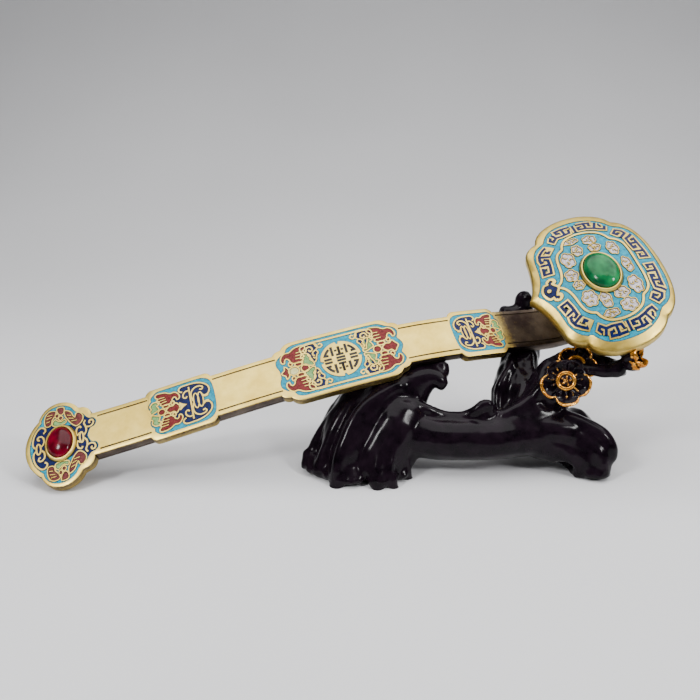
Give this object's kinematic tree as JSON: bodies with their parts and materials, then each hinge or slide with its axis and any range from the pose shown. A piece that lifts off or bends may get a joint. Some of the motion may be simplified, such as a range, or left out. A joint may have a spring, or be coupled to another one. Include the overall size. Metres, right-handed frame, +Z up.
{
  "type": "ruyi sceptre on stand",
  "caption": "Long brass sceptre with enamel plaques, a domed lobed head and two oval stones, lying on a black carved root stand with plum blossoms.",
  "frame": {"origin": "middle of the whole part's base, on the surface that it stands on", "axes": "+X from the sceptre's tail towards its head, +Y from the front to the back, +Z up"},
  "size_m": [0.3778, 0.1028, 0.1413],
  "materials": {
    "brass": "satin, aged, with enamel fields",
    "red_glass": "polished",
    "green_stone": "polished",
    "black_lacquer": "black gloss lacquer"
  },
  "bodies": {
    "root": {"sceptre_body": "brass", "red_cabochon": "red_glass", "green_cabochon": "green_stone", "stand": "black_lacquer"}
  },
  "joints": []
}
